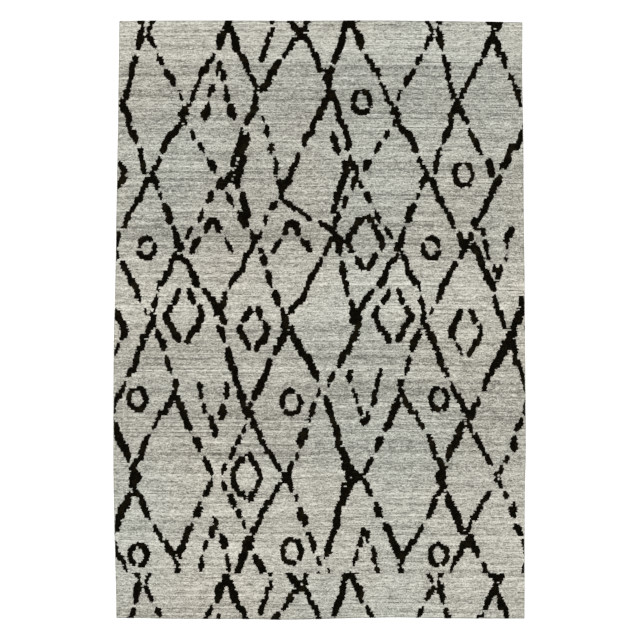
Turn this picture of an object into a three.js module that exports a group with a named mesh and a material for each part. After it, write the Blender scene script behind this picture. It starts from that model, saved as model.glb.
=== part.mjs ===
// A wool flatweave rug, lying flat and face up.
//
// Millimetres, +Z up. X runs across the rug and Y along it. The origin is on the floor,
// under the middle of the rug. The rug is one cloth, so it is one solid: its hems are
// the same cloth, and it has no fringe and no binding.

import * as THREE from 'three';

// Driving dimensions
const RUG_LENGTH = 2678; // along Y, between the furthest points of the two ends
const RUG_WIDTH = 1844; // along X, where the rug is widest
const CLOTH_THICKNESS = 5;
const RIM_DEPTH = 2; // how much of the thickness each rounded edge takes
const RIM_REACH = 2.2; // how far in from the outline the rounding starts
const RIM_STEPS = 3;
const CORNER_ROUND = 9; // how far from a corner its rounding starts
const CORNER_STEPS = 4;
const SPAN_STEPS = 4; // straight steps between two neighbouring places of a table

// The cloth was drawn in as it was woven, so the sides bow. `along` is measured from the
// middle of the rug, and each inset is how far that side lies inside the widest width.
const SIDES = [
  { along: -1339, leftInset: 14, rightInset: 6 },
  { along: -1165, leftInset: 11, rightInset: 5 },
  { along: -980, leftInset: 6, rightInset: 5 },
  { along: -790, leftInset: 2, rightInset: 4 },
  { along: -560, leftInset: 0, rightInset: 0 },
  { along: -90, leftInset: 2, rightInset: 3 },
  { along: 180, leftInset: 9, rightInset: 5 },
  { along: 490, leftInset: 14, rightInset: 9 },
  { along: 820, leftInset: 20, rightInset: 11 },
  { along: 1100, leftInset: 24, rightInset: 16 },
  { along: 1339, leftInset: 27, rightInset: 15 },
];

// The ends waver. `across` is measured from the middle of the rug, and each inset is how
// far that end lies inside the full length.
const ENDS = [
  { across: -900, bottomInset: 8, topInset: 1 },
  { across: -660, bottomInset: 4, topInset: 0 },
  { across: -350, bottomInset: 3, topInset: 0 },
  { across: -140, bottomInset: 0, topInset: 1 },
  { across: 110, bottomInset: 6, topInset: 0 },
  { across: 340, bottomInset: 10, topInset: 0 },
  { across: 600, bottomInset: 6, topInset: 3 },
  { across: 900, bottomInset: 5, topInset: 7 },
];

// The points of one edge, in the order of its table.
function leftEdge() {
  return SIDES.map((row) => new THREE.Vector2(-RUG_WIDTH / 2 + row.leftInset, row.along));
}

function rightEdge() {
  return SIDES.map((row) => new THREE.Vector2(RUG_WIDTH / 2 - row.rightInset, row.along));
}

function bottomEdge() {
  return ENDS.map((row) => new THREE.Vector2(row.across, -RUG_LENGTH / 2 + row.bottomInset));
}

function topEdge() {
  return ENDS.map((row) => new THREE.Vector2(row.across, RUG_LENGTH / 2 - row.topInset));
}

// Where two edges cross: the side's end for X, and the end's end for Y.
function cornerOf(sideEnd, endEnd) {
  return new THREE.Vector2(sideEnd.x, endEnd.y);
}

// An edge with its first and last points set back from the two corners that it joins.
function betweenCorners(edge, startCorner, finishCorner) {
  const inner = edge.slice(1, -1);
  const start = startCorner.clone();
  const finish = finishCorner.clone();
  start.add(inner[0].clone().sub(startCorner).setLength(CORNER_ROUND));
  finish.add(inner[inner.length - 1].clone().sub(finishCorner).setLength(CORNER_ROUND));
  return [start, ...inner, finish];
}

// The steps of one edge's smooth line, without its last point, which the corner adds.
function edgePoints(edge) {
  const steps = (edge.length - 1) * SPAN_STEPS;
  return new THREE.SplineCurve(edge).getPoints(steps).slice(0, -1);
}

function cornerPoints(from, corner, to) {
  return new THREE.QuadraticBezierCurve(from, corner, to).getPoints(CORNER_STEPS).slice(0, -1);
}

// The rug's outline, counter-clockwise from the bottom left corner.
function rugOutline() {
  const left = leftEdge();
  const right = rightEdge();
  const bottom = bottomEdge();
  const top = topEdge();
  const bottomLeft = cornerOf(left.at(0), bottom.at(0));
  const bottomRight = cornerOf(right.at(0), bottom.at(-1));
  const topRight = cornerOf(right.at(-1), top.at(-1));
  const topLeft = cornerOf(left.at(-1), top.at(0));

  const edges = [
    betweenCorners(bottom, bottomLeft, bottomRight),
    betweenCorners(right, bottomRight, topRight),
    betweenCorners(top.reverse(), topRight, topLeft),
    betweenCorners(left.reverse(), topLeft, bottomLeft),
  ];
  const corners = [bottomRight, topRight, topLeft, bottomLeft];

  const points = [];
  edges.forEach((edge, index) => {
    const nextEdge = edges[(index + 1) % edges.length];
    points.push(...edgePoints(edge));
    points.push(...cornerPoints(edge.at(-1), corners[index], nextEdge[0]));
  });
  return new THREE.Shape(points);
}

// The cloth: the outline raised to its thickness, with its rim rounded above and below
// where the weft turns back.
function rugCloth() {
  const geometry = new THREE.ExtrudeGeometry(rugOutline(), {
    depth: CLOTH_THICKNESS - 2 * RIM_DEPTH,
    steps: 1,
    bevelEnabled: true,
    bevelThickness: RIM_DEPTH,
    bevelSize: RIM_REACH,
    bevelOffset: -RIM_REACH,
    bevelSegments: RIM_STEPS,
  });
  geometry.translate(0, 0, RIM_DEPTH);
  return geometry;
}

const heatheredWool = new THREE.MeshStandardMaterial({
  color: 0xb3b1a5,
  roughness: 0.95,
  metalness: 0,
});

const rug = new THREE.Mesh(rugCloth(), heatheredWool);
rug.name = 'rug';

const part = new THREE.Group();
part.add(rug);

export default part;
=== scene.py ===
"""A wool flatweave rug, dressed for the eye.

The heathered ground is one closed cloth with its picks as ribs. The broken black lattice is
wrapped round the warps in thick yarn, so it stands a little proud of the ground.
Everything is in metres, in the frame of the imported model: X across, Y along, Z up.
"""

import logging
import math
from collections.abc import Callable
from dataclasses import dataclass, field
from enum import Enum
from functools import partial

import bmesh
import bpy
import numpy as np
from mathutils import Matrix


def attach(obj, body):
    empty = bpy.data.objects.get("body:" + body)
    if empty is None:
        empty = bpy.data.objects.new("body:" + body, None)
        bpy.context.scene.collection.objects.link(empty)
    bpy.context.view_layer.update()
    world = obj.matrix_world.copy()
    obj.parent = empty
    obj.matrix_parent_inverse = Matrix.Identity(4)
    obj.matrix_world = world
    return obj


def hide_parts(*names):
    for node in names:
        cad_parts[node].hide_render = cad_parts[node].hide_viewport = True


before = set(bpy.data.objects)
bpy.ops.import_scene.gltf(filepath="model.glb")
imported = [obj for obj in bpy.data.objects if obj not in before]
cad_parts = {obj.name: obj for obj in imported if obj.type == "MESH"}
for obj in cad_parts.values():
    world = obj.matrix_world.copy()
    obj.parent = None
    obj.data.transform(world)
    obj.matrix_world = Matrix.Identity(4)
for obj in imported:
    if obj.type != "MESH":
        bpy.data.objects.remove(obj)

logging.basicConfig(level=logging.INFO, format="%(message)s")
log = logging.getLogger("rug")

MM = 0.001
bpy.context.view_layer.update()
RUG_NODE = "rug"
BODY = "root"
NEXT_TO_NOTHING = 1e-9

# A box's faces, for corners numbered round its bottom and then round its top.
BOX_FACES = ((0, 3, 2, 1), (4, 5, 6, 7), (0, 1, 5, 4), (1, 2, 6, 5), (2, 3, 7, 6), (3, 0, 4, 7))

Bend = tuple[float, float]
Range = tuple[float, float]
Faces = list[tuple[int, ...]]


def linear(hex_colour: str) -> tuple[float, float, float, float]:
    """Turns an sRGB hex colour into the linear colour that a shader reads.

    Args:
        hex_colour: six hex digits after a hash.

    Returns:
        Linear red, green and blue, and an alpha of one.
    """
    channels = [int(hex_colour[i : i + 2], 16) / 255 for i in (1, 3, 5)]
    straight = [c / 12.92 if c <= 0.04045 else ((c + 0.055) / 1.055) ** 2.4 for c in channels]
    return (straight[0], straight[1], straight[2], 1.0)


def add_node(
    tree: bpy.types.NodeTree,
    kind: str,
    values: dict | None = None,
    links: dict | None = None,
    stops: tuple[tuple[float, tuple], ...] = (),
    **settings: object,
) -> bpy.types.Node:
    """Adds one shader node, with its settings, its constants and what feeds it.

    Args:
        tree: the material's node tree.
        kind: the node's type name, without the word ShaderNode in front.
        values: constants for input sockets, by socket name or number.
        links: what feeds input sockets, by socket name or number. It is an output socket, or
            a node whose first output is meant.
        stops: a colour ramp's stops from left to right, each a position and a linear colour.
        settings: the node's own properties, such as operation.

    Returns:
        The new node.
    """
    made = tree.nodes.new("ShaderNode" + kind)
    for name, value in settings.items():
        setattr(made, name, value)
    for socket, value in (values or {}).items():
        made.inputs[socket].default_value = value
    for socket, source in (links or {}).items():
        output = source.outputs[0] if isinstance(source, bpy.types.Node) else source
        tree.links.new(output, made.inputs[socket])
    for _ in stops[2:]:
        made.color_ramp.elements.new(1.0)
    for k, (position, colour) in enumerate(stops):
        element = made.color_ramp.elements[k]
        element.position, element.color = position, colour
    return made


def new_material(name: str) -> tuple[bpy.types.Material, Callable[..., bpy.types.Node]]:
    """Makes an empty material, and gives it with the function that adds a node to it."""
    material = bpy.data.materials.new(name)
    material.use_nodes = True
    material.node_tree.nodes.clear()
    return material, partial(add_node, material.node_tree)


def deselect_all() -> None:
    """Leaves nothing selected, because every operator acts on all that is."""
    if bpy.context.object is not None and bpy.context.object.mode != "OBJECT":
        bpy.ops.object.mode_set(mode="OBJECT")
    bpy.ops.object.select_all(action="DESELECT")


def new_piece(
    name: str, points: np.ndarray, faces: Faces, material: bpy.types.Material
) -> bpy.types.Object:
    """Makes a piece from its points and faces.

    Args:
        name: the piece's name.
        points: X, Y and Z of each point.
        faces: the point numbers of each face.
        material: what it is made of.

    Returns:
        The piece, at the origin, active and the only one selected.
    """
    mesh = bpy.data.meshes.new(name)
    mesh.from_pydata(points.tolist(), [], faces)
    mesh.materials.append(material)
    piece = bpy.data.objects.new(name, mesh)
    bpy.context.collection.objects.link(piece)
    deselect_all()
    piece.select_set(True)
    bpy.context.view_layer.objects.active = piece
    return piece


def face_outwards() -> None:
    """Turns all the faces of the active piece outwards."""
    bpy.ops.object.mode_set(mode="EDIT")
    bpy.ops.mesh.select_all(action="SELECT")
    bpy.ops.mesh.normals_make_consistent(inside=False)
    bpy.ops.object.mode_set(mode="OBJECT")


def length_of(way: np.ndarray) -> float:
    """How long a way is, from its first point to its last."""
    return float(np.hypot(*np.diff(way, axis=0).T).sum())


class Yarn(Enum):
    """How broad a dab of the pattern is, in squares of the layout."""

    FINE = 0.84
    SLIM = 1.06
    USUAL = 1.26
    BROAD = 1.46


class Manner(Enum):
    """How a long line is laid: the yarns that it may have, and the sizes of its runs and gaps.

    Runs and gaps are in squares, from the shortest to the longest.
    """

    WHOLE = ((Yarn.SLIM, Yarn.USUAL, Yarn.USUAL, Yarn.BROAD), (4.0, 16.0), (0.2, 0.9))
    BROKEN = ((Yarn.SLIM, Yarn.USUAL, Yarn.BROAD), (1.8, 5.0), (0.3, 1.1))
    DOTS = ((Yarn.FINE, Yarn.SLIM, Yarn.USUAL), (1.2, 2.6), (0.8, 1.6))
    LEFT_OUT = ((), (0.0, 0.0), (0.0, 0.0))


@dataclass(frozen=True)
class Dab:
    """What the hand wraps in one go: a short thick bar with round ends, in squares.

    It is as broad as `breadths` say at its start and at its stop.
    """

    start: Bend
    stop: Bend
    breadths: tuple[float, float]

    def placed(self, turn: Bend = (1.0, 1.0), shift: Bend = (0.0, 0.0)) -> "Dab":
        """The same dab elsewhere.

        Args:
            turn: -1 where columns or rows are turned about, and 1 where they aren't.
            shift: how many columns and rows it moves after that.

        Returns:
            The new dab.
        """
        start, stop = (
            tuple(t * v + s for t, v, s in zip(turn, end, shift)) for end in (self.start, self.stop)
        )
        return Dab(start, stop, self.breadths)


@dataclass
class Hand:
    """The weaver's hand. It lays each line as overlapping dabs, a little aside of one another.

    Lengths are in squares, and what is uneven is given by its usual spread. The hand is
    seeded, so it does the same each time. Small round shapes take shorter, steadier dabs.
    """

    seed: int = 20
    dab_length: Range = (0.7, 1.4)
    round_dab_length: Range = (0.7, 0.9)
    end_share: float = 0.45
    cut_spread: float = 0.15
    overlap: float = 0.3
    aside: float = 0.24
    round_aside: float = 0.08
    upright: float = 0.5
    breadth_spread: float = 0.15
    round_breadth_spread: float = 0.075
    taper: float = 0.10
    point_chance: float = 0.25
    point: float = 0.55
    bow: float = 0.26
    bow_every: float = 4.0
    foot_chance: float = 0.16
    foot_reach: float = 0.75
    foot_share: Range = (0.6, 1.0)
    shortest_with_foot: float = 2.5
    chance: np.random.Generator = field(init=False)

    def __post_init__(self) -> None:
        """Seeds the hand."""
        self.chance = np.random.default_rng(self.seed)

    def bowed(self, nodes: tuple[Bend, ...]) -> np.ndarray:
        """A way from node to node that strays a little between them.

        Args:
            nodes: where the way turns.

        Returns:
            Points of the way, a row each.
        """
        way = [np.array(nodes[0], dtype=float)]
        for start, stop in zip(nodes[:-1], nodes[1:]):
            side = np.subtract(stop, start).astype(float)
            size = float(np.hypot(*side))
            steps = max(1, round(size / self.bow_every))
            aside = np.array([-side[1], side[0]]) / size
            for k in range(1, steps + 1):
                stray = self.chance.normal(0, self.bow) if k < steps else 0.0
                way.append(np.add(start, side * k / steps) + aside * stray)
        return np.array(way)

    def lay(
        self, way: np.ndarray, start: float, stop: float, yarn: Yarn, is_round: bool = False
    ) -> list[Dab]:
        """Lays one unbroken line.

        Args:
            way: points of the way that the line follows.
            start: how far along the way the line starts.
            stop: how far along the way it stops.
            yarn: how broad it is.
            is_round: whether it belongs to a small round shape.

        Returns:
            The line's dabs.
        """
        lengths = self.round_dab_length if is_round else self.dab_length
        upright = 0.0 if is_round else self.upright
        aside = self.round_aside if is_round else self.aside
        spread = self.round_breadth_spread if is_round else self.breadth_spread
        reach = np.concatenate([[0], np.cumsum(np.hypot(*np.diff(way, axis=0).T))])
        round_end = self.end_share * yarn.value
        start, stop = start + round_end, stop - round_end
        if stop <= start:
            start = stop = (start + stop) / 2
        count = max(1, round((stop - start) / self.chance.uniform(*lengths)))
        cuts = np.linspace(start, stop, count + 1)
        cuts[1:-1] += self.chance.normal(0, self.cut_spread, count - 1) * (stop - start) / count
        dabs = []
        for k in range(count):
            is_first, is_last = k == 0, k == count - 1
            low = cuts[k] - (0 if is_first else self.overlap / 2)
            high = cuts[k + 1] + (0 if is_last else self.overlap / 2)
            ends = [np.array([np.interp(at, reach, axis) for axis in way.T]) for at in (low, high)]
            middle, half = (ends[0] + ends[1]) / 2, (ends[1] - ends[0]) / 2
            steepness = abs(half[1]) / max(float(np.hypot(*half)), NEXT_TO_NOTHING)
            half[0] *= 1 - upright * steepness
            middle[0] += self.chance.normal(0, aside) * steepness
            breadth = yarn.value * (1 + self.chance.normal(0, spread))
            breadths = breadth * (1 + self.taper * self.chance.uniform(-1, 1, 2))
            for end, is_end in enumerate((is_first, is_last)):
                if is_end and not is_round and self.chance.uniform() < self.point_chance:
                    breadths[end] *= self.point
            places = [tuple(place.tolist()) for place in (middle - half, middle + half)]
            dabs.append(Dab(places[0], places[1], tuple(breadths.tolist())))
        is_long = stop - start > self.shortest_with_foot and not is_round
        if is_long and self.chance.uniform() < self.foot_chance:
            dabs.append(self._foot(dabs[-1]))
        return dabs

    def _foot(self, dab: Dab) -> Dab:
        """A small foot to one side of a line's last dab."""
        column, row = dab.stop
        side = self.chance.choice([-1, 1]) * self.foot_reach * self.chance.uniform(*self.foot_share)
        return Dab((column, row), (column + side, row), (Yarn.FINE.value, Yarn.FINE.value * self.point))

    def lay_parted(
        self, way: np.ndarray, cut: float, gap: float, yarn: Yarn, is_round: bool = False
    ) -> list[Dab]:
        """Lays a short line in two parts.

        Args:
            way: points of the way that the line follows.
            cut: how far along the way the gap has its middle.
            gap: how far the two parts stand apart.
            yarn: how broad the line is.
            is_round: whether it belongs to a small round shape.

        Returns:
            The dabs of both parts.
        """
        first = self.lay(way, 0.0, cut - gap / 2, yarn, is_round)
        return first + self.lay(way, cut + gap / 2, length_of(way), yarn, is_round)

    def lay_broken(self, way: np.ndarray, manner: Manner) -> list[Dab]:
        """Lays a line that stops and starts again on the way.

        Args:
            way: points of the way that the line follows.
            manner: which yarns, runs and gaps it has.

        Returns:
            The line's dabs.
        """
        yarns, runs, gaps = manner.value
        size = length_of(way)
        dabs, at = [], 0.0
        while at < size - Yarn.FINE.value:
            stop = min(at + self.chance.uniform(*runs), size)
            if size - stop < gaps[1] + Yarn.USUAL.value:
                stop = size
            dabs += self.lay(way, at, stop, yarns[self.chance.integers(len(yarns))])
            at = stop + self.chance.uniform(*gaps)
        return dabs


@dataclass(frozen=True)
class Line:
    """A long line that turns at its nodes. Only the nodes are given, and the hand does the rest."""

    nodes: tuple[Bend, ...]
    manner: Manner

    def dabs(self, hand: Hand) -> list[Dab]:
        """Draws the line from its first node to its last."""
        if self.manner is Manner.LEFT_OUT:
            return []
        return hand.lay_broken(hand.bowed(self.nodes), self.manner)


@dataclass(frozen=True)
class Ring:
    """A small angular ring, left open where it began and at a second place."""

    centre: Bend
    size: float
    opens_at: float
    half_width: float = 2.15
    half_height: float = 2.75
    opening: float = 18.0
    corners: int = 8
    cut_share: Range = (0.3, 0.7)
    gap: float = 0.2

    def dabs(self, hand: Hand) -> list[Dab]:
        """Draws the ring, clockwise from one side of its opening to the other."""
        around = np.linspace(self.opening / 2, 360 - self.opening / 2, self.corners)
        turns = np.radians(self.opens_at + around)
        column = self.centre[0] + self.size * self.half_width * np.sin(turns)
        row = self.centre[1] - self.size * self.half_height * np.cos(turns)
        way = np.stack([column, row], 1)
        cut = length_of(way) * hand.chance.uniform(*self.cut_share)
        return hand.lay_parted(way, cut, self.gap, Yarn.USUAL, is_round=True)


@dataclass(frozen=True)
class SmallDiamond:
    """A diamond inside a bigger one, in two flanks that don't quite meet, each broken once.

    `flank` is the right flank, from the top down, in shares of the half width and height.
    """

    centre: Bend
    size: float
    half_width: float = 3.9
    half_height: float = 5.9
    flank: tuple[Bend, ...] = ((0.10, -0.97), (0.57, -0.5), (0.99, 0.0), (0.57, 0.5), (0.10, 0.97))
    cut_shares: tuple[float, float] = (0.33, 0.67)
    cut_spread: float = 0.3
    gap: float = 0.4

    def dabs(self, hand: Hand) -> list[Dab]:
        """Draws the left flank and the right flank."""
        made = []
        for side in (-1, 1):
            way = np.array(self.flank) * (side * self.half_width, self.half_height)
            way = self.size * way + self.centre
            cut = length_of(way) * hand.chance.choice(self.cut_shares)
            cut += hand.chance.normal(0, self.cut_spread)
            made += hand.lay_parted(way, cut, self.gap, Yarn.USUAL)
        return made


@dataclass(frozen=True)
class Arch:
    """A small arch, open at its foot. It turns by `sweep` degrees to each side of its top."""

    top: Bend
    half_width: float = 1.5
    height: float = 3.0
    sweep: float = 100.0
    corners: int = 7

    def dabs(self, hand: Hand) -> list[Dab]:
        """Draws the arch from its left foot to its right foot."""
        turns = np.radians(np.linspace(-self.sweep, self.sweep, self.corners))
        column = self.top[0] + self.half_width * np.sin(turns)
        row = self.top[1] + self.height * (1 - np.cos(turns)) / (1 - math.cos(turns[0]))
        way = np.stack([column, row], 1)
        return hand.lay(way, 0.0, length_of(way), Yarn.BROAD, is_round=True)


Motif = Line | Ring | SmallDiamond | Arch


class Filling(Enum):
    """What sits inside one lozenge."""

    BARE = "nothing"
    RING = "a small ring"
    DIAMOND = "a small diamond"
    ARCH = "an arch with a row of dots under each foot"
    ANGLE = "a second line inside one flank"
    CHEVRON = "a chevron, point up or down"
    NEST = "a smaller lozenge"


@dataclass(frozen=True)
class Lozenges:
    """Tall freehand lozenges, a traditional pattern of flatweaves from the Atlas mountains.

    The pattern is a rule: crossings stand in even rows and columns, and a seeded hand moves
    each of them, joins neighbours by lines and deals out what the lozenges hold. Sizes are
    in squares of 20 mm, from the rug's top left corner. `twin_columns` columns of crossings
    at the left come again at the right, turned left for right. A lozenge is `roomy` enough
    for more than a ring or a diamond at that share of the usual width. The shapes in it are
    shares of its half width and half height, from its middle.
    """

    half_width: float = 8.0
    half_height: float = 16.5
    first_column: float = -1.0
    first_row: float = -14.5
    columns: int = 13
    rows: int = 9
    twin_columns: int = 4
    twin_about: float = 39.0
    turn_row: float = 102.0
    wander: Bend = (1.5, 2.0)
    meeting: float = 0.7
    manners: tuple[tuple[Manner, float], ...] = (
        (Manner.WHOLE, 0.68),
        (Manner.BROKEN, 0.22),
        (Manner.DOTS, 0.06),
        (Manner.LEFT_OUT, 0.04),
    )
    filling_wander: float = 0.8
    motif_sizes: Range = (0.88, 1.14)
    roomy: float = 0.85
    ring_opens_at: Range = (-60, 60)
    arch_top: float = -0.42
    arch_foot: tuple[Bend, ...] = ((0.26, -0.18), (0.55, 0.05))
    angle: tuple[Bend, ...] = ((0.1, -0.6), (0.48, 0.0), (0.12, 0.55))
    chevron: tuple[Bend, ...] = ((-0.42, -0.25), (0.0, 0.45), (0.42, -0.25))
    nest_flank: tuple[Bend, ...] = ((0.05, -0.55), (0.46, 0.0), (0.05, 0.55))
    upper_rows: int = 4
    upper: tuple[tuple[Filling, int], ...] = (
        (Filling.RING, 3), (Filling.ARCH, 2), (Filling.ANGLE, 4), (Filling.CHEVRON, 3),
        (Filling.NEST, 1), (Filling.DIAMOND, 1), (Filling.BARE, 8),
    )
    lower: tuple[tuple[Filling, int], ...] = (
        (Filling.DIAMOND, 6), (Filling.RING, 2), (Filling.NEST, 1),
        (Filling.ANGLE, 1), (Filling.CHEVRON, 2), (Filling.BARE, 5),
    )
    seed: int = 9

    def dabs(self, hand: Hand) -> list[Dab]:
        """Draws the whole pattern, down to the row where it turns back.

        Args:
            hand: the hand that lays the lines.

        Returns:
            The pattern's dabs.
        """
        chance = np.random.default_rng(self.seed)
        crossings = self._crossings(chance)
        twins, others = [], []
        for column, row in np.ndindex(self.columns, self.rows - 1):
            for end in (column - 1, column + 1):
                if (column + row) % 2 or not 0 <= end < self.columns:
                    continue
                line = self._line(crossings[column, row], crossings[end, row + 1], chance)
                if not self._is_copy(min(column, end)):
                    of_twins = max(column, end) < self.twin_columns
                    (twins if of_twins else others).extend(line.dabs(hand))
        for (column, row), filling in self._deal(chance).items():
            motifs = self._fill(filling, crossings, column, row, chance)
            made = [dab for motif in motifs for dab in motif.dabs(hand)]
            (twins if column + 1 < self.twin_columns else others).extend(made)
        return twins + others + [dab.placed((-1, 1), (2 * self.twin_about, 0)) for dab in twins]

    def _last_twin(self) -> int:
        """The column of crossings that the first one becomes when it is turned."""
        return round(2 * (self.twin_about - self.first_column) / self.half_width)

    def _is_copy(self, leftmost: int) -> bool:
        """Whether a line or lozenge is a turned copy, by its leftmost column of crossings."""
        last = self._last_twin()
        return last - self.twin_columns < leftmost < last

    def _crossings(self, chance: np.random.Generator) -> np.ndarray:
        """Where the lines cross: a table of columns and rows, each a place in squares."""
        steps = np.indices((self.columns, self.rows)).transpose(1, 2, 0)
        even = np.array((self.first_column, self.first_row)) + steps * (self.half_width, self.half_height)
        places = even + chance.normal(0, 1, even.shape) * self.wander
        last = self._last_twin()
        for column in range(self.twin_columns):
            places[last - column] = places[column]
            places[last - column, :, 0] = 2 * self.twin_about - places[column, :, 0]
        return places

    def _line(self, start: np.ndarray, stop: np.ndarray, chance: np.random.Generator) -> Line:
        """The line between two crossings, in one of the manners."""
        ends = [tuple((place + chance.normal(0, self.meeting, 2)).tolist()) for place in (start, stop)]
        shares = [share for _, share in self.manners]
        return Line(tuple(ends), self.manners[chance.choice(len(shares), p=shares)][0])

    def _deal(self, chance: np.random.Generator) -> dict[tuple[int, int], Filling]:
        """Deals the fillings out to the lozenges, which stand between the crossings."""
        places = [
            (column, row)
            for row in range(1, self.rows - 1)
            for column in range(self.columns)
            if (column + row) % 2 and not self._is_copy(column - 1)
        ]
        dealt = {}
        for is_upper, bag in ((True, self.upper), (False, self.lower)):
            fillings = [kind for kind, count in bag for _ in range(count)]
            fillings = [fillings[k] for k in chance.permutation(len(fillings))]
            here = [place for place in places if (place[1] <= self.upper_rows) == is_upper]
            dealt |= {place: fillings[k % len(fillings)] for k, place in enumerate(here)}
        return dealt

    def _fill(
        self, filling: Filling, crossings: np.ndarray, column: int, row: int, chance: np.random.Generator
    ) -> tuple[Motif, ...]:
        """What one lozenge holds.

        Args:
            filling: the kind.
            crossings: where the lines cross.
            column: the lozenge's column among the crossings.
            row: its row among them.
            chance: the seeded source of its unevenness.

        Returns:
            The motifs to draw.
        """
        beside = [crossings[k, row] for k in (column - 1, column + 1) if 0 <= k < self.columns]
        ends = [crossings[column, row - 1], crossings[column, row + 1]]
        if len(beside) == 2:
            wide = (beside[1][0] - beside[0][0]) / 2
            centre = np.mean([*beside, *ends], axis=0)
        else:
            centre = np.mean(ends, axis=0)
            wide = abs(beside[0][0] - centre[0])
        tall = (ends[1][1] - ends[0][1]) / 2
        centre = centre + chance.normal(0, self.filling_wander, 2)
        if abs(centre[1] - self.turn_row) < self.half_height / 2:
            centre[1] = self.turn_row
        side = float(chance.choice([-1, 1]))
        size = float(chance.uniform(*self.motif_sizes) * min(1.0, wide / self.half_width))
        at = tuple(centre.tolist())

        def line(shape: tuple[Bend, ...], manner: Manner, across: float = 1, down: float = 1) -> Line:
            """A line of one of the shapes, turned about where `across` or `down` is -1."""
            nodes = [(at[0] + across * a * wide, at[1] + down * b * tall) for a, b in shape]
            return Line(tuple(nodes), manner)

        if filling is Filling.RING:
            return (Ring(at, size, float(chance.uniform(*self.ring_opens_at))),)
        if filling is Filling.DIAMOND:
            return (SmallDiamond(at, size),)
        if wide < self.roomy * self.half_width:
            return ()
        if filling is Filling.ARCH:
            feet = [line(self.arch_foot, Manner.BROKEN, foot) for foot in (-1, 1)]
            return (Arch((at[0], at[1] + self.arch_top * tall)), *feet)
        if filling is Filling.ANGLE:
            return (line(self.angle, Manner.WHOLE, side),)
        if filling is Filling.CHEVRON:
            return (line(self.chevron, Manner.BROKEN, down=float(chance.choice([-1, 1]))),)
        if filling is Filling.NEST:
            first = line(self.nest_flank, Manner.WHOLE, -side)
            return (first, line(self.nest_flank, Manner.BROKEN, side))
        return ()


@dataclass(frozen=True)
class Outline:
    """The rug's edges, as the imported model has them, wavering with the tables of its source.

    Each row of `sides` is (along, left inset, right inset) and each row of `ends` is
    (across, bottom inset, top inset), all in millimetres from the middle of the rug and
    from its widest width or its full length.
    """

    length: float = 2678 * MM
    width: float = 1844 * MM
    thickness: float = 5 * MM
    corner_round: float = 9 * MM
    corner_depth: float = 0.6
    sides: tuple[tuple[float, float, float], ...] = (
        (-1339, 14, 6), (-1165, 11, 5), (-980, 6, 5), (-790, 2, 4), (-560, 0, 0), (-90, 2, 3),
        (180, 9, 5), (490, 14, 9), (820, 20, 11), (1100, 24, 16), (1339, 27, 15),
    )
    ends: tuple[tuple[float, float, float], ...] = (
        (-900, 8, 1), (-660, 4, 0), (-350, 3, 0), (-140, 0, 1),
        (110, 6, 0), (340, 10, 0), (600, 6, 3), (900, 5, 7),
    )
    smooth_steps: int = 12

    def _inset(self, table: tuple, column: int, place: np.ndarray) -> np.ndarray:
        """One column of a table at any place, on the smooth line through its rows.

        Args:
            table: the sides or the ends.
            column: which inset, 1 or 2.
            place: metres along or across.

        Returns:
            The inset in metres, of the same form as `place`.
        """
        rows = np.array(table, dtype=float) * MM
        at, inset = rows[:, 0], rows[:, column]
        before = np.concatenate([inset[:1], inset, inset[-1:]])
        t = np.linspace(0, 1, self.smooth_steps, endpoint=False)
        places, insets = [], []
        for k in range(len(at) - 1):
            a, b, c, d = before[k : k + 4]
            places.append(at[k] + t * (at[k + 1] - at[k]))
            bend = 2 * b + (c - a) * t + (2 * a - 5 * b + 4 * c - d) * t**2
            insets.append(0.5 * (bend + (3 * b - a - 3 * c + d) * t**3))
        return np.interp(place, np.concatenate([*places, at[-1:]]), np.concatenate([*insets, inset[-1:]]))

    def _corner(self, along: np.ndarray) -> np.ndarray:
        """How far each corner's rounding draws a side in, at a place along the rug."""
        to_end = np.clip(self.length / 2 - np.abs(along), 0, self.corner_round)
        rest = 1 - to_end / self.corner_round
        return self.corner_round * (1 - np.sqrt(1 - rest**2)) * self.corner_depth

    def left(self, along: np.ndarray) -> np.ndarray:
        """X of the left edge at a place along the rug."""
        return -self.width / 2 + self._inset(self.sides, 1, along) + self._corner(along)

    def right(self, along: np.ndarray) -> np.ndarray:
        """X of the right edge at a place along the rug."""
        return self.width / 2 - self._inset(self.sides, 2, along) - self._corner(along)

    def bottom(self, across: np.ndarray) -> np.ndarray:
        """Y of the bottom edge at a place across the rug."""
        return -self.length / 2 + self._inset(self.ends, 1, across)

    def top(self, across: np.ndarray) -> np.ndarray:
        """Y of the top edge at a place across the rug."""
        return self.length / 2 - self._inset(self.ends, 2, across)


@dataclass
class Loom:
    """Where each pick of weft lies, and the squares in which the pattern is laid out.

    The real pick is 5 to 6 mm of thick weft.
    """

    outline: Outline
    picks: int = 486
    pick_unevenness: float = 0.16
    columns: int = 92
    row_height: float = 20 * MM
    seed: int = 71
    pick_edges: np.ndarray = field(init=False)

    def __post_init__(self) -> None:
        """Shares the rug's length out among uneven picks."""
        chance = np.random.default_rng(self.seed)
        heights = 1 + self.pick_unevenness * chance.uniform(-1, 1, self.picks)
        self.pick_edges = np.concatenate([[0.0], np.cumsum(heights)]) / heights.sum()

    def place(self, share_across: np.ndarray, share_along: np.ndarray) -> tuple[np.ndarray, np.ndarray]:
        """X and Y of points of the cloth.

        Args:
            share_across: 0 at the left edge to 1 at the right edge.
            share_along: 0 at the bottom end to 1 at the top end.

        Returns:
            X and Y in metres.
        """
        rough_x = (share_across - 0.5) * self.outline.width
        low, high = self.outline.bottom(rough_x), self.outline.top(rough_x)
        y = low + share_along * (high - low)
        left, right = self.outline.left(y), self.outline.right(y)
        return left + share_across * (right - left), y

    def layout_place(self, share_across: np.ndarray, y: np.ndarray) -> tuple[np.ndarray, np.ndarray]:
        """The pattern's column and row at a point of the cloth, in squares from the top left."""
        return share_across * self.columns, (self.outline.length / 2 - y) / self.row_height


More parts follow.
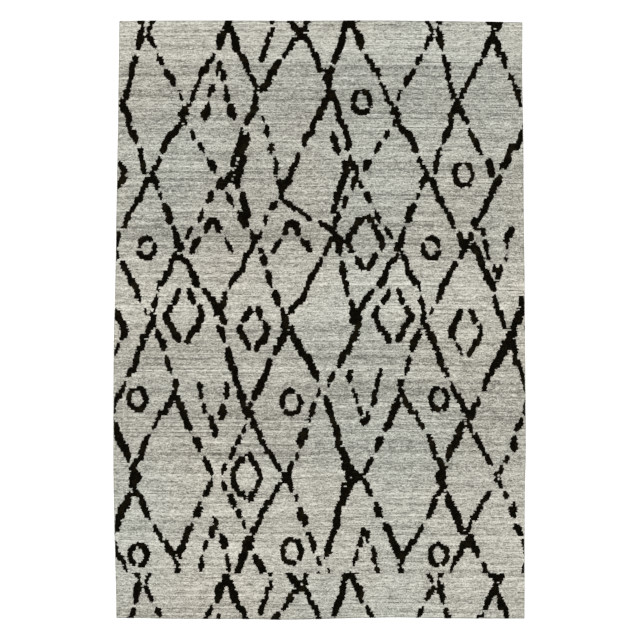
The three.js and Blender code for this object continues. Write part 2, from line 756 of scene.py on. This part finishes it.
@dataclass
class Lattice:
    """The black lattice over the whole rug.

    The pattern runs down to its turn row, then back up to `cut_row`, where it starts again
    from its first row. It is drawn in fine places, `fine_per_square` of them to a square.
    """

    hand: Hand
    pattern: Lozenges = field(default_factory=Lozenges)
    cut_row: float = 123.5
    last_row: float = 136.0
    columns: int = Loom.columns
    fine_per_square: int = 8
    edge_unevenness: float = 0.07
    notch: float = 0.10
    notch_size: tuple[int, int] = (5, 6)
    most_unevenness: float = 3.0
    narrowest_gap: int = 3
    narrowest_mark: int = 2
    seed: int = 8
    marks: np.ndarray = field(init=False)

    def __post_init__(self) -> None:
        """Draws every dab into the table of black places."""
        shape = (int(self.last_row * self.fine_per_square), self.columns * self.fine_per_square)
        self.marks = np.zeros(shape, dtype=bool)
        chance = np.random.default_rng(self.seed)
        notches = chance.normal(0, self.notch, [n // size + 1 for n, size in zip(shape, self.notch_size)])
        edge = np.kron(notches, np.ones(self.notch_size))[: shape[0], : shape[1]]
        edge += chance.normal(0, self.edge_unevenness, (shape[0], 1))
        turn_row = self.pattern.turn_row
        for dab in self.pattern.dabs(self.hand):
            self._draw(dab, 0.0, turn_row, edge)
            self._draw(dab.placed((1, -1), (0, 2 * turn_row)), turn_row, self.cut_row, edge)
            self._draw(dab.placed(shift=(0, self.cut_row)), self.cut_row, self.last_row, edge)
        # Neither a gap nor a mark is narrower than a warp or two.
        self.marks = self._closed(self.marks, self.narrowest_gap)
        self.marks = ~self._closed(~self.marks, self.narrowest_mark)

    @staticmethod
    def _closed(marks: np.ndarray, narrowest: int) -> np.ndarray:
        """Fills the gaps in each row that are narrower than so many fine places."""
        spans = np.pad(marks, ((0, 0), (narrowest - 1, narrowest - 1)), mode="edge")
        for over in (np.any, np.all):
            spans = over(np.lib.stride_tricks.sliding_window_view(spans, narrowest, axis=1), axis=-1)
        return spans

    def _draw(self, dab: Dab, first: float, last: float, edge: np.ndarray) -> None:
        """Blackens what one dab covers.

        Args:
            dab: the dab, in squares.
            first: the first row that may take it.
            last: the row before which it stops.
            edge: how far the outline strays outwards at each fine place.
        """
        fine = self.fine_per_square
        (c0, r0), (c1, r1) = dab.start, dab.stop
        reach = max(dab.breadths) / 2 + self.most_unevenness * (self.edge_unevenness + self.notch)
        top = math.ceil(max(min(r0, r1) - reach, first, 0) * fine)
        bottom = math.ceil(min(max(r0, r1) + reach, last, self.last_row) * fine)
        left = math.floor(max(min(c0, c1) - reach, 0) * fine)
        right = math.ceil(min(max(c0, c1) + reach, self.columns) * fine)
        if bottom <= top or right <= left:
            return
        down = ((np.arange(top, bottom) + 0.5) / fine)[:, None]
        across = ((np.arange(left, right) + 0.5) / fine)[None, :]
        dc, dr = c1 - c0, r1 - r0
        span = max(dc * dc + dr * dr, NEXT_TO_NOTHING)
        t = np.clip(((across - c0) * dc + (down - r0) * dr) / span, 0, 1)
        away = np.hypot(across - c0 - t * dc, down - r0 - t * dr)
        breadth = dab.breadths[0] + t * (dab.breadths[1] - dab.breadths[0])
        self.marks[top:bottom, left:right] |= away <= breadth / 2 + edge[top:bottom, left:right]

    def is_black(self, column: np.ndarray, row: np.ndarray) -> np.ndarray:
        """Whether the lattice is black at each place, given in squares."""
        at_row = (row * self.fine_per_square).astype(int).clip(0, self.marks.shape[0] - 1)
        at_column = (column * self.fine_per_square).astype(int).clip(0, self.marks.shape[1] - 1)
        return self.marks[at_row, at_column]


@dataclass(frozen=True)
class Streak:
    """One of the noises that the wool's tone is made of. It runs along the picks.

    `length` is how far it runs, in metres. `step` is how far apart two rows lie in it, so
    that above one they have nothing in common. A row is a pick, or with `by_ply` half a
    pick. `offset` keeps two noises apart, and `weight` is its share of the tone.
    """

    length: float
    step: float
    detail: float
    offset: float
    weight: float = 0.0
    by_ply: bool = False


@dataclass(frozen=True)
class HeatheredWool:
    """Undyed grey and cream wool, carded together, spun thick and woven weft-faced.

    Every pick is a little lighter or darker than its neighbours and changes tone along its
    length, so the ground is finely streaked from side to side. Broader bands come from one
    spinning to the next. Wool scatters light, so it has no gloss, only a faint sheen.
    """

    light: str = "#C9C8C0"
    middle: str = "#9F9E96"
    dark: str = "#5B5A54"
    tone_stops: tuple[float, float, float] = (0.04, 0.5, 0.96)
    usual_tone: float = 0.464
    streaks: tuple[Streak, ...] = (
        Streak(6 * MM, 9.1, 0.0, 17.9, 1.20, by_ply=True),
        Streak(18 * MM, 7.3, 2.0, 3.7, 1.50, by_ply=True),
        Streak(70 * MM, 5.1, 1.0, 41.3, 0.70),
        Streak(900 * MM, 1.7, 0.0, 90.1, 0.66),
        Streak(2200 * MM, 1 / 22, 3.0, 12.9, 0.20),
    )
    streak_roughness: float = 0.6
    picks_per_skein: float = 9.0
    skein_weight: float = 0.14
    # How light the wool is along the rug: (share of the length from the bottom end, tone).
    hanks: tuple[tuple[float, float], ...] = (
        (0.00, 0.49), (0.10, 0.55), (0.15, 0.51), (0.24, 0.56), (0.26, 0.42), (0.38, 0.41),
        (0.56, 0.56), (0.64, 0.42), (0.82, 0.46), (0.90, 0.42), (0.95, 0.57),
    )
    warm: str = "#BBAD9C"
    cool: str = "#A3ABA6"
    fleece: Streak = Streak(800 * MM, 0.006, 2.0, 63.0)
    fleece_stops: Range = (0.36, 0.64)
    tint: float = 0.34
    hairs: Streak = Streak(45 * MM, 11.7, 0.0, 7.7)
    hair_from: Range = (0.66, 0.78)
    hair_shade: float = 0.62
    # Painted shade in the groove between two picks: where it starts and is full, and how dark.
    groove_from: Range = (0.30, 0.5)
    groove_shade: float = 0.80
    # The colour is darker within this distance of each side and within one pick of each end.
    turned_edge: float = 5 * MM
    turned_edge_shade: float = 0.80
    warp_spacing: float = 6 * MM
    warp_relief: float = 0.28
    fibre: float = 1.6 * MM
    fibre_detail: float = 3.0
    fibre_roughness: float = 0.65
    bump: float = 0.55
    bump_height: float = 0.8 * MM
    roughness: float = 0.96
    sheen: float = 0.12
    sheen_roughness: float = 0.6
    specular: float = 0.2

    def make(self) -> bpy.types.Material:
        """Makes the material.

        Returns:
            The material, which reads the cloth's own map: metres across, and pick numbers.
        """
        material, add = new_material("heathered_wool_weft_faced")
        cloth = add("UVMap", uv_map=GroundCloth.MAP_NAME)
        parts = add("SeparateXYZ", links={0: cloth}).outputs
        across, picks = parts["X"], parts["Y"]
        pick = add("Math", links={0: picks}, operation="FLOOR")
        plies = add("Math", {1: 2.0}, {0: picks}, operation="MULTIPLY")
        ply = add("Math", links={0: plies}, operation="FLOOR")

        def noise(streak: Streak) -> bpy.types.Node:
            """A streak's noise at each place, from 0 to 1."""
            row = ply if streak.by_ply else pick
            x = add("Math", {1: 1 / streak.length}, {0: across}, operation="MULTIPLY")
            y = add("Math", {1: streak.step, 2: streak.offset}, {0: row}, operation="MULTIPLY_ADD")
            at = add("CombineXYZ", links={0: x, 1: y})
            values = {"Scale": 1.0, "Detail": streak.detail, "Roughness": self.streak_roughness}
            return add("TexNoise", values, {"Vector": at})

        # A skein lasts for a few picks and ends at once, so its stripe has a clean edge.
        skeins = add("Math", {1: 1 / self.picks_per_skein}, {0: pick}, operation="MULTIPLY")
        skein = add("TexVoronoi", {"Scale": 1.0}, {"W": skeins}, voronoi_dimensions="1D")
        share = add("Math", {1: 1 / Loom.picks}, {0: picks}, operation="MULTIPLY")
        tones = tuple((place, (tone, tone, tone, 1.0)) for place, tone in self.hanks)
        hank = add("ValToRGB", links={0: share}, stops=tones)

        # The tone is a weighed sum of them all, each taken from its own middle.
        terms = [(noise(streak), streak.weight) for streak in self.streaks]
        terms += [(skein.outputs["Color"], self.skein_weight), (hank, 1.0)]
        values = {2: self.usual_tone - sum(weight for _, weight in terms) / 2}
        links = {}
        for source, weight in terms:
            tone = add("Math", {1: weight, **values}, {0: source, **links}, operation="MULTIPLY_ADD")
            values, links = {}, {2: tone}
        greys = [linear(colour) for colour in (self.dark, self.middle, self.light)]
        wool = add("ValToRGB", links={0: tone}, stops=tuple(zip(self.tone_stops, greys)))

        # One fleece was creamier than the next, in patches as long as an arm.
        hues = (linear(self.warm), linear(self.cool))
        hue = add("ValToRGB", links={0: noise(self.fleece)}, stops=tuple(zip(self.fleece_stops, hues)))
        mixed = {"data_type": "RGBA", "blend_type": "SOFT_LIGHT"}
        heather = add("Mix", {0: self.tint}, {6: wool, 7: hue}, **mixed)

        # Where the colour is darker: in the dark hairs of the wool, in the groove between two picks,
        # where it is painted shade, and in a narrow band along the sides and the ends. Each is a
        # place, its middle, how far from that the darkening starts and is full, and how dark it is.
        groove = add("Math", links={0: picks}, operation="FRACT")
        side, end = Outline.width / 2, Loom.picks / 2
        darker = (
            (noise(self.hairs), 0.0, self.hair_from, self.hair_shade),
            # painted shade in the groove between two picks
            (groove, 0.5, self.groove_from, self.groove_shade),
            # darker along the sides and along the ends
            (across, side, (side - self.turned_edge, side), self.turned_edge_shade),
            (picks, end, (end - 1, end), self.turned_edge_shade),
        )
        colour, mixed = heather, {"data_type": "RGBA", "blend_type": "MULTIPLY"}
        for place, middle, (outset, full), shade in darker:
            off = add("Math", {1: middle}, {0: place}, operation="SUBTRACT")
            away = add("Math", links={0: off}, operation="ABSOLUTE")
            values = {"From Min": outset, "From Max": full, "To Min": 1.0, "To Max": shade}
            dark = add("MapRange", values, {"Value": away})
            colour = add("Mix", {0: 1.0}, {6: colour.outputs[2], 7: dark}, **mixed)

        shine = {"Sheen Weight": self.sheen, "Sheen Roughness": self.sheen_roughness}
        shine |= {"Roughness": self.roughness, "Specular IOR Level": self.specular}
        relief = self._relief(add, across, pick)
        shader = add("BsdfPrincipled", shine, {"Base Color": colour.outputs[2], "Normal": relief})
        add("OutputMaterial", links={"Surface": shader})
        return material

    def _relief(self, add: Callable, across: bpy.types.NodeSocket, pick: bpy.types.Node) -> bpy.types.Node:
        """The bump of the weft, over one warp and under the next, and of its fibres.

        Args:
            add: the function that adds a node to the material.
            across: metres across the cloth.
            pick: the number of the pick.

        Returns:
            The bump.
        """
        odd = add("Math", {1: 0.5}, {0: pick}, operation="MULTIPLY")
        beads = add("Math", {1: 1 / self.warp_spacing}, {0: across}, operation="MULTIPLY")
        swapped = add("Math", links={0: beads, 1: odd}, operation="ADD")
        turn = add("Math", {1: 2 * math.pi}, {0: swapped}, operation="MULTIPLY")
        wave = add("Math", links={0: turn}, operation="SINE")
        at = add("TexCoord").outputs["Object"]
        values = {"Scale": 1 / self.fibre, "Detail": self.fibre_detail, "Roughness": self.fibre_roughness}
        fibres = add("TexNoise", values, {"Vector": at})
        relief = add("Math", {1: self.warp_relief}, {0: wave, 2: fibres}, operation="MULTIPLY_ADD")
        return add("Bump", {"Strength": self.bump, "Distance": self.bump_height}, {"Height": relief})


@dataclass(frozen=True)
class BlackWool:
    """Wool dyed black and plied thick, wrapped by hand.

    The dye took a little unevenly, so some wraps are brown-black and some neutral. The yarn
    is dull, with soft lighter fibres on its crown.
    """

    deep: str = "#040300"
    worn: str = "#1A160A"
    dye_stops: Range = (0.35, 0.9545)
    fibre: float = 5 * MM
    fibre_detail: float = 3.0
    fibre_roughness: float = 0.6
    fibre_tone: float = 0.5
    slant: float = math.radians(35)
    thinness: tuple[float, float, float] = (1.0, 3.0, 1.0)
    stretch: float = 60 * MM
    stretch_detail: float = 1.0
    stretch_roughness: float = 0.5
    stretch_from: Range = (0.45, 0.7)
    stretch_tone: Range = (-0.20, 0.40)
    bump: float = 0.5
    bump_height: float = 0.6 * MM
    roughness: float = 0.93
    specular: float = 0.04

    def make(self) -> bpy.types.Material:
        """Makes the material, which reads each wrap's own shade."""
        material, add = new_material("black_dyed_wool_plied")
        shade = add("Attribute", attribute_name=SoumakWraps.SHADE_NAME).outputs["Fac"]
        place = add("TexCoord").outputs["Object"]
        # Fibres of the ply show as short slanting lines, 2 mm apart.
        values = {"Rotation": (0.0, 0.0, self.slant), "Scale": self.thinness}
        turned = add("Mapping", values, {"Vector": place})
        values = {"Scale": 1 / self.fibre, "Detail": self.fibre_detail, "Roughness": self.fibre_roughness}
        ply = add("TexNoise", values, {"Vector": turned})
        # Whole stretches of the yarn took less dye.
        values = {"Scale": 1 / self.stretch, "Detail": self.stretch_detail}
        values["Roughness"] = self.stretch_roughness
        stretch = add("TexNoise", values, {"Vector": place})
        (low, high), (darker, paler) = self.stretch_from, self.stretch_tone
        values = {"From Min": low, "From Max": high, "To Min": darker, "To Max": paler}
        pale = add("MapRange", values, {"Value": stretch})
        own = add("Math", links={0: shade, 1: pale}, operation="ADD")
        both = add("Math", {1: self.fibre_tone}, {0: ply, 2: own}, operation="MULTIPLY_ADD")
        blacks = (linear(self.deep), linear(self.worn))
        dyed = add("ValToRGB", links={0: both}, stops=tuple(zip(self.dye_stops, blacks)))
        bump = add("Bump", {"Strength": self.bump, "Distance": self.bump_height}, {"Height": ply})
        dull = {"Roughness": self.roughness, "Specular IOR Level": self.specular}
        shader = add("BsdfPrincipled", dull, {"Base Color": dyed, "Normal": bump})
        add("OutputMaterial", links={"Surface": shader})
        return material


@dataclass(frozen=True)
class WhiteBoard:
    """Matt white painted board under the rug, as a studio has, with no texture to see."""

    colour: str = "#F6F6F5"
    roughness: float = 0.9

    def make(self) -> bpy.types.Material:
        """Makes the material."""
        material, add = new_material("white_painted_board")
        paint = {"Base Color": linear(self.colour), "Roughness": self.roughness}
        add("OutputMaterial", links={"Surface": add("BsdfPrincipled", paint)})
        return material


@dataclass
class GroundCloth:
    """The heathered cloth: one closed sheet whose face has a rib for each pick of weft.

    `edge_columns_at` gives the columns of points next to a selvedge, and `rim` gives each
    loop of the rounded rim below the face, as how far in from the outline it lies and how
    high. Both are in millimetres.
    """

    MAP_NAME = "Cloth"

    loom: Loom
    finish: HeatheredWool = field(default_factory=HeatheredWool)
    rib_height: float = 0.7 * MM
    slub_height: float = 0.35 * MM
    biggest_slub: float = 1.6
    slub_in_groove: float = 0.35
    face_columns: int = 70
    edge_columns_at: tuple[float, ...] = (0.0, 2.0, 4.5, 7.0, 10.0, 14.0)
    selvedge_width: float = 9 * MM
    selvedge_rise: float = 0.5 * MM
    rim_reach: float = 2.2 * MM
    rim_drop: float = 0.15 * MM
    rim: tuple[tuple[float, float], ...] = ((0.7, 4.35), (0.0, 3.0), (0.0, 2.0), (0.7, 0.65), (2.2, 0.3))
    picks_per_underside_strip: int = 9
    smooth_below: float = math.radians(75)
    seed: int = 5

    def _shares_across(self) -> np.ndarray:
        """Where the columns of the face lie, closer together at the two selvedges."""
        edge = np.array(self.edge_columns_at) * MM / self.loom.outline.width
        inner = np.linspace(edge[-1], 1 - edge[-1], self.face_columns + 1)[1:-1]
        return np.concatenate([edge, inner, 1 - edge[::-1]])

    def _shares_along(self) -> np.ndarray:
        """Where the rows of the face lie: each pick's groove, and its crown."""
        edges = self.loom.pick_edges
        rows = np.empty(2 * len(edges) - 1)
        rows[0::2] = edges
        rows[1::2] = (edges[:-1] + edges[1:]) / 2
        return rows

    def _heights(self, across: np.ndarray, rows: int) -> np.ndarray:
        """The face's height at each row and column.

        Args:
            across: the columns' shares of the width.
            rows: how many rows the face has.

        Returns:
            Heights in metres, a row of the table for each row of the face.
        """
        chance = np.random.default_rng(self.seed)
        slubs = chance.normal(0, 1, (rows, len(across)))
        slubs = ((slubs + np.roll(slubs, 1, axis=1)) / 2).clip(-self.biggest_slub, self.biggest_slub)
        crown = (np.arange(rows) % 2 == 1).astype(float)[:, None]
        high = self.loom.outline.thickness - self.rib_height * (1 - crown)
        share = self.slub_in_groove + (1 - self.slub_in_groove) * crown
        high = high + self.slub_height * slubs * share
        to_edge = np.minimum(across, 1 - across) * self.loom.outline.width
        half = self.selvedge_width / 2
        bundle = np.clip(1 - np.abs(to_edge - half) / half, 0, 1)
        return high + self.selvedge_rise * bundle[None, :]

    def build(self) -> bpy.types.Object:
        """Makes the cloth.

        Returns:
            The cloth's object, at the origin, dressed and mapped.
        """
        outline = self.loom.outline
        across, along = self._shares_across(), self._shares_along()
        share_x, share_y = np.meshgrid(across, along)
        x, y = self.loom.place(share_x, share_y)
        rows, columns = x.shape
        face = np.stack([x, y, self._heights(across, rows)], -1).reshape(-1, 3)
        number = np.interp(along, self.loom.pick_edges, np.arange(self.loom.picks + 1))
        cloth_map = np.stack([share_x * outline.width, np.broadcast_to(number[:, None], x.shape)], -1)
        cloth_map = cloth_map.reshape(-1, 2)

        grid = np.arange(rows * columns).reshape(rows, columns)
        ring = np.concatenate([grid[0, :-1], grid[:-1, -1], grid[-1, :0:-1], grid[:0:-1, 0]])
        border = face[ring, :2].copy()
        inward = self._inward(border)
        face[ring, :2] = border + inward * self.rim_reach
        face[ring, 2] = np.minimum(face[ring, 2], outline.thickness - self.rim_drop)
        points, maps = [face], [cloth_map]
        quads = [np.stack([grid[:-1, :-1], grid[:-1, 1:], grid[1:, 1:], grid[1:, :-1]], -1).reshape(-1, 4)]
        upper = ring
        for k, (inset, height) in enumerate(self.rim):
            points.append(np.column_stack([border + inward * inset * MM, np.full(len(ring), height * MM)]))
            maps.append(cloth_map[ring])
            lower = len(face) + k * len(ring) + np.arange(len(ring))
            quads.append(np.stack([upper, lower, np.roll(lower, -1), np.roll(upper, -1)], -1))
            upper = lower
        points, maps = np.concatenate(points), np.concatenate(maps)
        faces = [tuple(quad) for quad in np.concatenate(quads).tolist()]
        faces += self._underside_strips(lower.tolist(), rows, columns)

        cloth = new_piece("ground_cloth", points, faces, self.finish.make())
        layer = cloth.data.uv_layers.new(name=self.MAP_NAME)
        corners = np.empty(len(cloth.data.loops), dtype=np.int32)
        cloth.data.loops.foreach_get("vertex_index", corners)
        layer.uv.foreach_set("vector", maps[corners].astype(np.float32).ravel())
        face_outwards()
        bpy.ops.object.shade_smooth_by_angle(angle=self.smooth_below)
        return cloth

    @staticmethod
    def _inward(border: np.ndarray) -> np.ndarray:
        """The direction into the cloth at each point of its border."""
        dx, dy = (np.roll(border, -1, axis=0) - np.roll(border, 1, axis=0)).T
        size = np.hypot(dx, dy)
        return np.stack([-dy / size, dx / size], 1)

    def _underside_strips(self, loop: list[int], rows: int, columns: int) -> Faces:
        """The flat underside, in strips from selvedge to selvedge.

        Args:
            loop: the point numbers of the lowest loop, counter-clockwise from its bottom left.
            rows: how many rows the face has.
            columns: how many columns the face has.

        Returns:
            The strips' point numbers.
        """
        left = [loop[-k] for k in range(rows)]
        right = loop[columns - 1 : columns - 1 + rows]
        bottom = loop[columns - 2 : 0 : -1]
        top = loop[-rows : columns + rows - 2 : -1]
        height = 2 * self.picks_per_underside_strip
        strips = []
        for start in range(0, rows - 1, height):
            stop = min(start + height, rows - 1)
            strip = left[start : stop + 1] + (top if stop == rows - 1 else [])
            strip += right[start : stop + 1][::-1] + (bottom if start == 0 else [])
            strips.append(tuple(strip))
        return strips


@dataclass
class SoumakWraps:
    """The black lattice in thick yarn, one wrap for about every 11 mm of a pick.

    Each wrap goes round the warps and shows on both faces of the cloth.
    """

    SHADE_NAME = "wrap_shade"

    loom: Loom
    lattice: Lattice
    finish: BlackWool = field(default_factory=BlackWool)
    wrap_length: float = 11 * MM
    overlap: float = 1.12
    breadths: Range = (1.08, 1.28)
    rise: float = 1.5 * MM
    rises: Range = (0.55, 1.15)
    lean: float = math.radians(9)
    lean_spread: float = 0.35
    end_unevenness_mm: float = 1.2
    clear_of_edge: float = 1.5 * MM
    under_turn_bottom: float = 0.1 * MM
    under_turn_rise: float = 0.7 * MM
    under_turn_half_breadth: float = 0.52
    end_roundness: float = 1.5 * MM
    lengths_of_rug: int = 5
    sides: int = 6
    rings: int = 4
    shoulder: Range = (0.1, 0.45)
    shoulder_swell: tuple[float, float, float] = (1.28, 1.28, 1.02)
    seed: int = 33

    def _model_wrap(self) -> tuple[np.ndarray, Faces]:
        """Models one wrap as a short barrel along X, one unit long, wide and high.

        Returns:
            Its points and its faces.
        """
        deselect_all()
        bpy.ops.mesh.primitive_uv_sphere_add(segments=self.sides, ring_count=self.rings, radius=0.5)
        wrap = bpy.context.object
        bpy.ops.object.mode_set(mode="EDIT")
        shape = bmesh.from_edit_mesh(wrap.data)
        for point in shape.verts:
            point.select = self.shoulder[0] < abs(point.co.z) < self.shoulder[1]
        shape.select_flush_mode()
        bmesh.update_edit_mesh(wrap.data)
        bpy.ops.transform.resize(value=self.shoulder_swell)
        face_outwards()
        points = np.array([point.co[:] for point in wrap.data.vertices])
        faces = [tuple(face.vertices) for face in wrap.data.polygons]
        bpy.data.objects.remove(wrap, do_unlink=True)
        return np.stack([points[:, 2], points[:, 0], points[:, 1]], 1), faces

    def _runs(self, pick: int) -> list[tuple[float, float]]:
        """The black stretches of one pick, as shares of the width."""
        fine = self.lattice.columns * self.lattice.fine_per_square
        share = (np.arange(fine) + 0.5) / fine
        middle = (self.loom.pick_edges[pick] + self.loom.pick_edges[pick + 1]) / 2
        _, y = self.loom.place(share, np.full(fine, middle))
        black = self.lattice.is_black(*self.loom.layout_place(share, y))
        change = np.flatnonzero(np.diff(np.concatenate([[0], black.astype(int), [0]])))
        return [(a / fine, b / fine) for a, b in zip(change[0::2], change[1::2])]

    def _places(self) -> np.ndarray:
        """Where every wrap goes.

        Returns:
            A row for each wrap: the shares of the width where it starts and ends, its
            pick's middle and height as shares of the length, and the pick's number.
        """
        chance = np.random.default_rng(self.seed)
        width = self.loom.outline.width
        clear = self.clear_of_edge / width
        rows = []
        for pick in range(self.loom.picks):
            low, high = self.loom.pick_edges[pick], self.loom.pick_edges[pick + 1]
            for start, stop in self._runs(pick):
                start += chance.uniform(-1, 1) * self.end_unevenness_mm * MM / width
                stop += chance.uniform(-1, 1) * self.end_unevenness_mm * MM / width
                start, stop = max(start, clear), min(stop, 1 - clear)
                count = max(1, round((stop - start) * width / self.wrap_length))
                cuts = np.linspace(start, stop, count + 1)
                rows += [(a, b, (low + high) / 2, high - low, pick) for a, b in zip(cuts[:-1], cuts[1:])]
        return np.array(rows)

    def build(self) -> list[bpy.types.Object]:
        """Makes the wraps, joined into one piece for each length of the rug.

        Returns:
            The pieces, from the bottom end to the top end.
        """
        wrap = self._model_wrap()
        places = self._places()
        chance = np.random.default_rng(self.seed + 1)
        finish = self.finish.make()
        length_of_wrap = (places[:, 4] * self.lengths_of_rug // self.loom.picks).astype(int)
        pieces = []
        for k in range(self.lengths_of_rug):
            here = places[length_of_wrap == k]
            pieces.append(self._join(f"black_wraps_{k + 1}", here, wrap, finish, chance))
        return pieces

    def _under_turns(self, places: np.ndarray, first: int) -> tuple[np.ndarray, Faces]:
        """The part of the yarn that lies low between the wraps, one flat bar for each run.

        Args:
            places: the rows that `_places` gives.
            first: the number of the bars' first point.

        Returns:
            The bars' points and faces.
        """
        outline = self.loom.outline
        parted = places[1:, 0] > places[:-1, 1] + NEXT_TO_NOTHING
        new_run = (places[1:, 4] != places[:-1, 4]) | parted
        starts = np.flatnonzero(np.concatenate([[True], new_run]))
        stops = np.concatenate([starts[1:] - 1, [len(places) - 1]])
        left = places[starts, 0] + self.end_roundness / outline.width
        right = places[stops, 1] - self.end_roundness / outline.width
        middle, half = places[starts, 2], places[starts, 3] * self.under_turn_half_breadth
        low, high = middle - half, middle + half
        corners = ((left, low), (right, low), (right, high), (left, high))
        plan = [self.loom.place(across, along) for across, along in corners]
        levels = (self.under_turn_bottom, outline.thickness + self.under_turn_rise)
        bars = np.array([[x, y, np.full(len(x), z)] for z in levels for x, y in plan])
        points = bars.transpose(2, 0, 1).reshape(-1, 3)
        bar_starts = range(first, first + len(points), len(bars))
        faces = [tuple(at + corner for corner in face) for at in bar_starts for face in BOX_FACES]
        return points, faces

    def _join(
        self,
        name: str,
        places: np.ndarray,
        wrap: tuple[np.ndarray, Faces],
        finish: bpy.types.Material,
        chance: np.random.Generator,
    ) -> bpy.types.Object:
        """Copies the wrap to its places and joins the copies into one mesh.

        Args:
            name: the piece's name.
            places: the rows that `_places` gives.
            wrap: one wrap's points and faces.
            finish: the yarn's material.
            chance: the seeded source of the hand's unevenness.

        Returns:
            The piece, at the origin.
        """
        shape, faces = wrap
        outline = self.loom.outline
        count, corners = len(places), len(shape)
        start, stop, middle, height, _ = places.T
        centre_x, centre_y = self.loom.place((start + stop) / 2, middle)
        length = (stop - start) * outline.width * self.overlap
        breadth = height * outline.length * chance.uniform(*self.breadths, count)
        top = outline.thickness + self.rise * chance.uniform(*self.rises, count)
        lean = self.lean * chance.normal(1, self.lean_spread, count)
        along, aside = shape[None, :, 0] * length[:, None], shape[None, :, 1] * breadth[:, None]
        cos, sin = np.cos(lean)[:, None], np.sin(lean)[:, None]
        x = centre_x[:, None] + along * cos - aside * sin
        y = centre_y[:, None] + along * sin + aside * cos
        z = np.maximum((2 * shape[None, :, 2] + 1) / 2 * top[:, None], 0)
        points = np.stack([x, y, z], -1).reshape(-1, 3)
        joined = [tuple(corner + k * corners for corner in face) for k in range(count) for face in faces]
        shades = np.repeat(chance.uniform(0, 1, count), corners)
        under_points, under_faces = self._under_turns(places, len(points))
        shades = np.concatenate([shades, np.zeros(len(under_points))])
        piece = new_piece(name, np.concatenate([points, under_points]), joined + under_faces, finish)
        shade = piece.data.attributes.new(self.SHADE_NAME, "FLOAT", "POINT")
        shade.data.foreach_set("value", shades.astype(np.float32))
        bpy.ops.object.shade_smooth()
        return piece


@dataclass
class Studio:
    """The camera straight above the rug, soft light from all round, and the floor."""

    centre: tuple[float, float] = (0.002, 0.0005)
    camera_height: float = 7.95
    lens: float = 100.0
    sensor: float = 36.0
    floor_size: float = 14.0
    floor_gap: float = 0.1 * MM
    floor_finish: WhiteBoard = field(default_factory=WhiteBoard)
    sky: str = "#FFFFFF"
    sky_strength: float = 0.52
    lamp_power: float = 215.0
    lamp_size: float = 4.0
    lamp_aside: float = 3.4
    lamp_height: float = 3.6

    def place_camera(self) -> None:
        """Puts the camera where the photograph was taken from, looking straight down."""
        data = bpy.data.cameras.new("camera")
        data.lens, data.sensor_width = self.lens, self.sensor
        camera = bpy.data.objects.new("camera", data)
        camera.location = (*self.centre, self.camera_height)
        bpy.context.collection.objects.link(camera)
        bpy.context.scene.camera = camera

    def light(self) -> None:
        """Hangs two large lamps at opposite sides, aimed at the rug, under a white sky."""
        for side, name in ((-1, "lamp_left"), (1, "lamp_right")):
            data = bpy.data.lights.new(name, "AREA")
            data.shape, data.size = "SQUARE", self.lamp_size
            data.energy = self.lamp_power
            lamp = bpy.data.objects.new(name, data)
            lamp.location = (side * self.lamp_aside, 0.0, self.lamp_height)
            tilt = math.atan2(self.lamp_aside, self.lamp_height)
            lamp.rotation_euler = (tilt, 0.0, side * math.pi / 2)
            bpy.context.collection.objects.link(lamp)
        world = bpy.data.worlds.new("white_sky")
        world.use_nodes = True
        background = world.node_tree.nodes["Background"]
        background.inputs["Color"].default_value = linear(self.sky)
        background.inputs["Strength"].default_value = self.sky_strength
        bpy.context.scene.world = world
        bpy.context.scene.view_settings.view_transform = "Standard"

    def lay_floor(self) -> None:
        """Lays the floor that the rug rests on, which isn't part of it."""
        deselect_all()
        bpy.ops.mesh.primitive_plane_add(size=self.floor_size, location=(0, 0, -self.floor_gap))
        floor = bpy.context.object
        floor.name = "floor"
        bpy.ops.object.transform_apply(location=True, rotation=True, scale=True)
        floor.data.materials.append(self.floor_finish.make())


def main() -> None:
    """Builds the scene in order."""
    studio = Studio()
    studio.place_camera()
    outline = Outline()
    loom = Loom(outline)
    lattice = Lattice(Hand())
    log.info("lattice: %.1f%% black", 100 * lattice.marks.mean())

    cloth = GroundCloth(loom).build()
    wraps = SoumakWraps(loom, lattice).build()
    for piece in (cloth, *wraps):
        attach(piece, BODY)
        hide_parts(RUG_NODE)
        piece.data.calc_loop_triangles()
        log.info("%s: %d triangles", piece.name, len(piece.data.loop_triangles))

    studio.light()
    studio.lay_floor()


if __name__ == "__main__":
    main()
